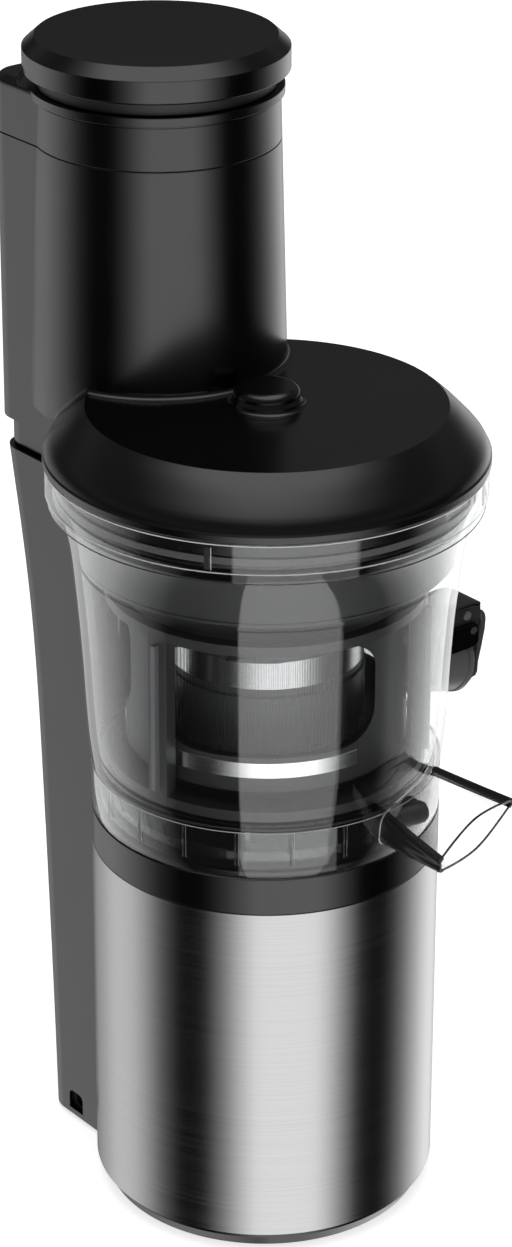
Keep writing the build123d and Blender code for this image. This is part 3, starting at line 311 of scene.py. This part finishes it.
def screen(name):
    """Steel sheet etched with holes so fine that it is mostly open."""
    tree = Tree(name)
    coords = tree.add("ShaderNodeTexCoord")
    holes = tree.add("ShaderNodeTexVoronoi", Scale=2600.0, Randomness=0.0)
    tree.link(coords.outputs["Object"], holes.inputs["Vector"])
    tree.link(ramp(tree, holes.outputs["Distance"], [(0.5, 0.0), (0.6, 0.5)], "LINEAR"),
              tree.shader.inputs["Alpha"])
    tree.set(Base_Color=grey(0.12), Metallic=1.0, Roughness=0.45)
    return tree.material


BLACK = plastic("satin_black", (0.0014, 0.0014, 0.0015), 0.21)
GLOSS = plastic("gloss_black", (0.0012, 0.0012, 0.0013), 0.17)
STEEL = brushed("brushed_steel", 0.415, 0.45)
BRIGHT = brushed("polished_steel", 0.95, 0.97, 0.24, 300.0, 0.01)
MACHINED = brushed("machined_steel", 0.4, 0.5, 0.3)
CLEAR = clear("clear_plastic", (0.975, 0.98, 0.983), (0.90, 0.915, 0.925), 0.045)
SPOUT = clear("clear_spout", (0.995, 0.995, 0.995), (0.30, 0.31, 0.32), 0.02)
SMOKE = plastic("smoked_plastic", (0.022, 0.022, 0.023), 0.45)
DARK = plastic("dark_plastic", (0.008, 0.008, 0.009), 0.22)
AUGER = plastic("auger_plastic", (0.045, 0.047, 0.05), 0.42)
RUBBER = plastic("rubber", (0.006, 0.006, 0.006), 0.5)
SILICONE = plastic("silicone", (0.1, 0.1, 0.105), 0.45)
MESH = screen("etched_screen")
STRAINER = plastic("strainer_plastic", (0.02, 0.02, 0.021), 0.5)
# Painted shade: near-black glossy lines and strips that stand for the shade along the clear bowl's and
# spout's edges, ribs and gaps.
PAINTED_SHADE = plastic("painted_shade", (0.012, 0.012, 0.013), 0.12)
# Painted highlight: light grey lines and strips that stand for light caught on the clear bowl's edges,
# ribs, tabs and the spout's root.
PAINTED_HIGHLIGHT = plastic("painted_highlight", (0.75, 0.76, 0.77), 0.2)
NOZZLE = plastic("nozzle_plastic", (0.085, 0.086, 0.088), 0.35)
# Near-black matte: the spout stopper's own rubber; on the flap's pad and web, the bracket's block and
# cheeks and the pusher's plunger it is painted shade.
RUBBER_AND_PAINTED_SHADE = plastic("rubber_and_painted_shade", (0.004, 0.004, 0.004), 0.5)
HOOK = plastic("flap_plastic", (0.035, 0.036, 0.037), 0.3)

SLOTS = {
    "black_plastic": BLACK, "gloss_black": GLOSS, "brushed_steel": STEEL, "clear_plastic": CLEAR,
    "smoke_plastic": SMOKE, "dark_plastic": DARK, "auger_plastic": AUGER, "polished_steel": BRIGHT,
    "bare_steel": MACHINED, "rubber": RUBBER, "silicone": SILICONE,
}
# The pusher's plunger is near-black and matte as painted shade in the gap under the cap.
NODES = {"strainer_mesh": MESH, "strainer_frame": STRAINER, "pusher_plunger": RUBBER_AND_PAINTED_SHADE}


# ======================= Extra pieces =======================

ROUND = 192                 # steps round a turned piece
WIRE_SIDES = 8
ROD_SIDES = 64
SMOOTH_BELOW = 35.0         # degrees between two faces


def finished(name, mesh, node, materials):
    """Object on the body that carries a CAD node, with smooth faces between its sharp edges."""
    for polygon in mesh.polygons:
        polygon.use_smooth = True
    mesh.set_sharp_from_angle(angle=math.radians(SMOOTH_BELOW))
    for material in materials:
        mesh.materials.append(material)
    thing = bpy.data.objects.new(name, mesh)
    bpy.context.scene.collection.objects.link(thing)
    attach(thing, body_of(frame["nodes"][node])[0])
    return thing


def swept(rows, closed_rows=True):
    """Mesh over rows of points, each row a closed loop; the last row joins the first if closed."""
    count, width = len(rows), len(rows[0])
    points = [tuple(value * MM for value in point) for row in rows for point in row]
    faces = []
    for i in range(count if closed_rows else count - 1):
        j = (i + 1) % count
        for k in range(width):
            m = (k + 1) % width
            faces.append((i * width + k, i * width + m, j * width + m, j * width + k))
    mesh = bpy.data.meshes.new("swept")
    mesh.from_pydata(points, [], faces)
    mesh.update()
    return mesh


def as_mesh(work, name):
    """New mesh from a finished edit."""
    mesh = bpy.data.meshes.new(name)
    work.to_mesh(mesh)
    work.free()
    return mesh


def outwards(mesh):
    """Turns all faces the same way, out of the solid."""
    work = bmesh.new()
    work.from_mesh(mesh)
    bmesh.ops.recalc_face_normals(work, faces=work.faces)
    work.to_mesh(mesh)
    work.free()
    return mesh


def capped(mesh):
    """Closes the open ends of a sweep."""
    work = bmesh.new()
    work.from_mesh(mesh)
    bmesh.ops.holes_fill(work, edges=work.edges)
    work.to_mesh(mesh)
    work.free()
    return mesh


def around(radius, degrees, height):
    """Point beside the main axis."""
    turn = math.radians(degrees)
    return (radius * math.cos(turn), radius * math.sin(turn), height)


def turned(profile):
    """Ring with a closed profile of (radius, height) points round the main axis."""
    return outwards(swept([[around(r, 360 * i / ROUND, z) for r, z in profile] for i in range(ROUND)]))


def circle(radius, height):
    return [around(radius, 360 * i / ROUND, height) for i in range(ROUND)]


def ring_row(here, along, radius, sides):
    """Circle of points round a centre, square to a direction."""
    side = along.cross(Vector((0, 0, 1)))
    side = side.normalized() if side.length > 1e-6 else Vector((1, 0, 0))
    over = side.cross(along)
    return [tuple(here + radius * (math.cos(a) * side + math.sin(a) * over))
            for a in (2 * math.pi * k / sides for k in range(sides))]


def wire(path, radius, closed=True):
    """Thin round bead along a path of points."""
    rows = []
    count = len(path)
    for i, point in enumerate(path):
        here = Vector(point)
        before = Vector(path[i - 1 if closed or i else 0])
        after = Vector(path[(i + 1) % count if closed or i < count - 1 else i])
        rows.append(ring_row(here, (after - before).normalized(), radius, WIRE_SIDES))
    mesh = swept(rows, closed)
    return outwards(mesh if closed else capped(mesh))


def bead(name, radius, height, thick, material):
    """Thin ring right round the clear bowl: the painted highlight and painted shade lines of its moulded
    edges.
    """
    finished(name, wire(circle(radius, height), thick), "bowl", [material])


# The strainer's funnel, which the clear bowl shows above the windows.
FUNNEL = [(71.2, 270.9), (72.1, 277.0), (73.0, 281.5), (74.3, 286.0), (75.8, 290.0), (74.6, 290.2),
          (73.0, 286.3), (71.7, 281.8), (70.8, 277.2), (69.6, 270.9)]
RIM_RADIUS = 83.4
RIM_BOTTOM, RIM_STEP, RIM_TOP = 292.4, 296.6, 308.0


def strainer_funnel():
    finished("strainer_funnel", turned(FUNNEL), "strainer_frame", [STRAINER])


def rim_lines():
    """Painted highlight and painted shade lines along the rim's moulded edges."""
    bead("rim_top_line", RIM_RADIUS - 0.1, RIM_TOP - 0.4, 0.28, PAINTED_HIGHLIGHT)
    bead("rim_step_line", RIM_RADIUS - 0.3, RIM_STEP, 0.2, PAINTED_HIGHLIGHT)
    bead("rim_foot_line", RIM_RADIUS - 1.15, RIM_BOTTOM + 0.1, 0.24, PAINTED_SHADE)


# ---- Rods and flat pieces ----

def rod(start, end, steps, closed=False):
    """Round piece along a line, from (distance, radius) pairs."""
    start, end = Vector(start), Vector(end)
    along = (end - start).normalized()
    rows = [ring_row(start + along * distance, along, radius, ROD_SIDES) for distance, radius in steps]
    mesh = swept(rows, closed)
    return outwards(mesh if closed else capped(mesh))


CORNER_ANGLE = 0.9          # radians; sharper edges of a flat piece are bevelled
CORNER_BEVEL = 0.35


def extruded(outline, low, high):
    """Solid between two planes across the Y axis, from an (x, z) outline."""
    rows = [[(x, y, z) for x, z in outline] for y in (low, high)]
    mesh = capped(swept(rows, False))
    work = bmesh.new()
    work.from_mesh(mesh)
    bmesh.ops.recalc_face_normals(work, faces=work.faces)
    corners = [edge for edge in work.edges if edge.calc_face_angle(0) > CORNER_ANGLE]
    bmesh.ops.bevel(work, geom=corners, offset=CORNER_BEVEL * MM, segments=2, affect="EDGES")
    work.to_mesh(mesh)
    work.free()
    return mesh


# ---- Pulp spout ----
SPOUT_TURN = 18.0           # degrees from the front towards the nozzle's side
SPOUT_WALL = 1.0
# Outlines as (across, height), from the right end over the top to the left end and back below.
SPOUT_ROOT = [(19.6, 186.8), (18.0, 188.4), (0.0, 188.8), (-16.0, 184.6), (-19.6, 178.0), (-17.5, 171.4),
              (0.0, 175.2), (17.5, 184.9)]
SPOUT_MOUTH = [(26.8, 178.0), (25.4, 179.7), (-1.0, 183.4), (-24.8, 178.0), (-27.1, 174.9), (-25.0, 171.8),
               (1.0, 169.4), (25.2, 176.2)]
SPOUT_STEPS = 12            # steps between two outline points
SPOUT_REACH = 94.7          # from the main axis to the mouth
BOWL_WALL = 66.9            # outer radius of the bowl
# The stopper's axis as (across, out, height) and its (distance, radius) pairs.
STOPPER_START, STOPPER_END = (-16.4, 59.5, 178.0), (2.3, 70.6, 178.4)
STOPPER = [(0.0, 3.6), (0.6, 4.4), (2.4, 4.8), (3.6, 4.8), (3.9, 4.5), (17.5, 4.5), (20.2, 4.3),
           (21.6, 3.4), (22.2, 1.8)]


def at_spout(across, out, height):
    """Point in the frame from the spout's own directions."""
    turn = math.radians(SPOUT_TURN)
    return (across * math.cos(turn) + out * math.sin(turn),
            across * math.sin(turn) - out * math.cos(turn), height)


def smooth_loop(points):
    """Closed smooth curve through the points."""
    curve, count = [], len(points)
    for i in range(count):
        a, b, c, d = (Vector(points[(i + k) % count]) for k in (-1, 0, 1, 2))
        for step in range(SPOUT_STEPS):
            t = step / SPOUT_STEPS
            curve.append(b + 0.5 * ((c - a) * t + (2 * a - 5 * b + 4 * c - d) * t ** 2
                                    + (3 * b - a - 3 * c + d) * t ** 3))
    return curve


def spout_row(along, inset=0.0, short=0.0):
    """Outline of the spout at a share of its length, from the bowl's wall to the mouth's plane."""
    mixed = [Vector(a) * (1 - along) + Vector(b) * along for a, b in zip(SPOUT_ROOT, SPOUT_MOUTH)]
    curve = smooth_loop(mixed)
    row = []
    for i, point in enumerate(curve):
        ahead = (curve[(i + 1) % len(curve)] - curve[i - 1]).normalized()
        x, z = point + inset * Vector((-ahead.y, ahead.x))
        wall = math.sqrt(BOWL_WALL ** 2 - x ** 2)
        row.append(at_spout(x, wall * (1 - along) + (SPOUT_REACH - short) * along, z))
    return row


def pulp_spout():
    """Clear spout that flattens into a lens-shaped mouth; the spans beside its two ends are painted shade.
    """
    shares = (0.0, 0.2, 0.4, 0.6, 0.8, 1.0)
    rows = [spout_row(share) for share in shares]
    rows += [spout_row(share, SPOUT_WALL) for share in reversed(shares)]
    mesh = outwards(swept(rows))
    spout = finished("clear_spout", mesh, "pulp_spout", [SPOUT, PAINTED_SHADE])
    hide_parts("pulp_spout")
    width = len(rows[0])
    for index, polygon in enumerate(mesh.polygons):
        place = index % width // SPOUT_STEPS
        # The spans beside the two ends carry painted shade.
        if place in (0, 3, 4, 7):       # the spans beside the right and the left end
            polygon.material_index = 1
    # Painted shade line round the mouth.
    mouth = spout_row(1.0, inset=0.35, short=0.7)
    finished("spout_mouth_line", wire(mouth, 0.45), "pulp_spout", [PAINTED_SHADE])
    # Painted highlight line along the spout's root on the bowl.
    root = spout_row(0.0)[SPOUT_STEPS:5 * SPOUT_STEPS]      # from the top right round the left end
    finished("spout_root_line", wire(root, 0.3, closed=False), "bowl", [PAINTED_HIGHLIGHT])


def pulp_valve():
    """Black rubber stopper that lies across the spout's root."""
    mesh = rod(at_spout(*STOPPER_START), at_spout(*STOPPER_END), STOPPER)
    valve = finished("spout_stopper", mesh, "pulp_valve", [RUBBER_AND_PAINTED_SHADE])
    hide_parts("pulp_valve")


# ---- Juice nozzle and drip flap ----
NOZZLE_ROOT, NOZZLE_MOUTH = (66.6, 0.0, 202.4), (96.0, 0.0, 195.6)
KNOB_AXIS = (94.4, 0.0, 218.6), (94.4, -1.0, 218.6)
KNOB = [(9.3, 1.9), (10.4, 1.9), (10.7, 1.6)]
PAD_AXIS = (96.4, 0.0, 195.5), (98.8, 0.0, 194.9)
FLAP_PAD = [(0.0, 10.9), (0.6, 11.6), (2.0, 11.6), (2.5, 10.4), (3.2, 3.2), (4.8, 3.0)]
# Half widths across the nozzle: the bracket's hood and block, and the flap's hooks and web.
HOOD_HALF, CHEEK_INSIDE, BLOCK_HALF = 9.4, 8.7, 8.6
HOOK_HALF, HOOK_INSIDE, WEB_HALF = 8.4, 7.0, 7.2
# Profiles as (x, z). The pin is at (97.5, 211.2), and the bracket's stay clear of the flap's swing.
BLOCK = [(70.0, 213.8), (70.0, 221.0), (72.0, 222.8), (88.4, 222.9), (88.4, 213.8)]
HOOD = [(87.0, 222.0), (87.0, 223.0), (97.5, 223.1), (101.0, 222.6), (102.7, 221.9), (102.0, 220.4),
        (100.6, 220.9), (97.5, 221.4), (92.0, 221.5)]
CHEEK = [(70.0, 213.0), (70.0, 221.0), (72.0, 222.6), (97.5, 222.8), (100.8, 222.3), (102.3, 221.5),
         (102.6, 217.8), (101.6, 213.6), (100.2, 213.0)]
FLAP_HOOK = [(104.3, 217.8), (105.8, 215.8), (106.4, 213.6), (106.1, 209.0), (104.6, 202.0), (103.0, 195.4),
             (102.7, 191.0), (101.6, 189.4), (99.0, 189.0), (96.8, 190.0), (97.2, 191.4), (99.6, 191.2),
             (100.6, 192.6), (101.2, 197.0), (102.4, 202.4), (103.6, 208.6), (104.0, 212.6), (103.4, 215.4),
             (102.6, 216.9)]
FLAP_WEB = [(95.9, 212.8), (97.5, 213.4), (99.2, 213.0), (101.5, 214.8), (102.8, 216.2), (104.8, 214.0),
            (104.9, 209.6), (103.4, 203.0), (101.8, 196.0), (100.9, 196.4), (102.2, 203.0), (103.0, 208.0),
            (101.0, 209.4), (98.6, 209.5), (97.5, 209.2), (95.9, 209.8), (95.3, 211.2)]


def juice_nozzle():
    """Wide dark nozzle with a thickened lip round its mouth, under the flap's hooded bracket."""
    length = (Vector(NOZZLE_MOUTH) - Vector(NOZZLE_ROOT)).length
    steps = [(0.0, 12.4), (6.0, 12.5), (length - 2.6, 12.8), (length - 2.4, 13.2), (length - 0.4, 13.3),
             (length, 13.0), (length, 11.6), (length - 0.4, 11.2), (length - 3.4, 10.9), (0.0, 10.4)]
    nozzle = finished("nozzle_tube", rod(NOZZLE_ROOT, NOZZLE_MOUTH, steps, closed=True), "juice_nozzle",
                      [NOZZLE])
    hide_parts("juice_nozzle")
    # The bracket's block and cheeks are near-black as painted shade over the nozzle.
    for name, mesh, material in (
            ("bracket_top", extruded(BLOCK, -BLOCK_HALF, BLOCK_HALF), RUBBER_AND_PAINTED_SHADE),
            ("bracket_hood", extruded(HOOD, -HOOD_HALF, HOOD_HALF), HOOK),
            ("bracket_cheek_near", extruded(CHEEK, -HOOD_HALF, -CHEEK_INSIDE), RUBBER_AND_PAINTED_SHADE),
            ("bracket_cheek_far", extruded(CHEEK, CHEEK_INSIDE, HOOD_HALF), RUBBER_AND_PAINTED_SHADE),
            ("bracket_knob", rod(*KNOB_AXIS, KNOB), NOZZLE)):
        finished(name, mesh, "flap_bracket", [material])


def drip_flap():
    """Hooked flap over the nozzle's mouth, with its rubber pad; pad and web are near-black as painted
    shade.
    """
    web = finished("flap_web", extruded(FLAP_WEB, -WEB_HALF, WEB_HALF), "drip_flap", [RUBBER_AND_PAINTED_SHADE])
    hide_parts("drip_flap")
    for name, low, high in (("flap_hook_near", -HOOK_HALF, -HOOK_INSIDE),
                            ("flap_hook_far", HOOK_INSIDE, HOOK_HALF)):
        finished(name, extruded(FLAP_HOOK, low, high), "drip_flap", [HOOK])
    rubber = finished("flap_pad", rod(*PAD_AXIS, FLAP_PAD), "flap_seal", [RUBBER_AND_PAINTED_SHADE])
    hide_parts("flap_seal")


# ---- Skirt and inner details ----
SKIRT = [(67.2, 165.7), (67.4, 166.0), (67.5, 178.0), (67.7, 184.6), (67.4, 184.4), (67.1, 176.0),
         (66.9, 165.9)]
RIBS, FIRST_RIB = 20, -120.7                # how many round the bowl, and degrees
RIB_RADIUS, RIB_FOOT, RIB_MIDDLE, RIB_HEAD = 66.2, 170.5, 177.0, 183.6
RIB_BOW = 0.01              # how far the middle stands aside
TABS = (-143.9, -53.9, 36.1, 126.1)         # degrees
TAB_FOOT, TAB_HEAD, TAB_DEPTH = 297.4, 306.0, 0.5
WINDOWS = (-128.0, -8.0, 112.0)             # degrees of the strainer windows' middles
PLATE = [(53.9, 200.6), (54.25, 200.8), (54.25, 206.8), (53.9, 207.0)]
PLATE_HALF, PLATE_STEPS = 38.0, 40          # degrees to each side of the middle, and steps
BOX_FACES = ((0, 1, 2, 3), (7, 6, 5, 4), (0, 4, 5, 1), (1, 5, 6, 2), (2, 6, 7, 3), (3, 7, 4, 0))


def skirt():
    """Clear outer skirt flush with the collar, its foot line and the lines of the bowl's floor."""
    finished("bowl_skirt", turned(SKIRT), "bowl", [CLEAR])
    # Painted shade line at the skirt's foot.
    bead("skirt_foot_line", 67.1, 166.0, 0.14, PAINTED_SHADE)
    # Painted highlight line, then painted shade line, at the bowl's floor.
    bead("floor_line", 67.4, 184.6, 0.14, PAINTED_HIGHLIGHT)
    bead("floor_shade", 67.1, 186.0, 0.5, PAINTED_SHADE)


def ribs():
    """Painted shade and painted highlight along the skirt's ribs, in pairs round the bowl."""
    for name, beside, thick, material in (("rib_shades", 0.0, 0.5, PAINTED_SHADE),
                                          ("rib_lights", 1.1, 0.08, PAINTED_HIGHLIGHT)):
        work = bmesh.new()
        for i in range(RIBS):
            x, y, foot = around(RIB_RADIUS, FIRST_RIB + 360 * i / RIBS + beside, RIB_FOOT)
            path = [(x, y, foot), (x + RIB_BOW, y, RIB_MIDDLE), (x, y, RIB_HEAD)]
            part = wire(path, thick, closed=False)
            work.from_mesh(part)
            bpy.data.meshes.remove(part)
        finished(name, as_mesh(work, name), "bowl", [material])


def rim_tabs():
    """Locking tabs in the rim: a strip of painted shade in each gap, with a strip of painted highlight
    beside it.
    """
    for name, beside, half, out, material in (("rim_gap_shades", 0.0, 0.9, 82.9, PAINTED_SHADE),
                                              ("rim_glints", 1.1, 0.12, 83.0, PAINTED_HIGHLIGHT)):
        work = bmesh.new()
        for degrees in TABS:
            radial = Vector(around(1.0, degrees + beside, 0.0))
            across = Vector((-radial.y, radial.x, 0.0))
            square = ((-half, out - TAB_DEPTH), (half, out - TAB_DEPTH), (half, out), (-half, out))
            points = [work.verts.new((radial * r + across * side + Vector((0, 0, z))) * MM)
                      for z in (TAB_FOOT, TAB_HEAD) for side, r in square]
            for face in BOX_FACES:
                work.faces.new([points[k] for k in face])
        bmesh.ops.recalc_face_normals(work, faces=work.faces)
        finished(name, as_mesh(work, name), "bowl", [material])


def strainer_band():
    """Bright plates round the basket's foot, one under each window."""
    work = bmesh.new()
    for middle in WINDOWS:
        turns = [middle - PLATE_HALF + 2 * PLATE_HALF * i / PLATE_STEPS for i in range(PLATE_STEPS + 1)]
        part = swept([[around(r, turn, z) for r, z in PLATE] for turn in turns], False)
        work.from_mesh(part)
        bpy.data.meshes.remove(part)
    bmesh.ops.holes_fill(work, edges=work.edges)
    bmesh.ops.recalc_face_normals(work, faces=work.faces)
    finished("basket_plates", as_mesh(work, "basket_plates"), "strainer_frame", [BRIGHT])


strainer_funnel()
strainer_band()
rim_lines()
rim_tabs()
skirt()
ribs()
pulp_spout()
pulp_valve()
juice_nozzle()
drip_flap()

add_camera()
add_world()
add_floor()
slot_of = {part["node"]: part["material_slot"] for part in frame["record"]["subparts"]}
for node, thing in frame["nodes"].items():
    material = NODES.get(node) or SLOTS.get(slot_of[node])
    if material:
        for slot in thing.material_slots:
            slot.material = material
bpy.context.scene.view_settings.view_transform = "Standard"
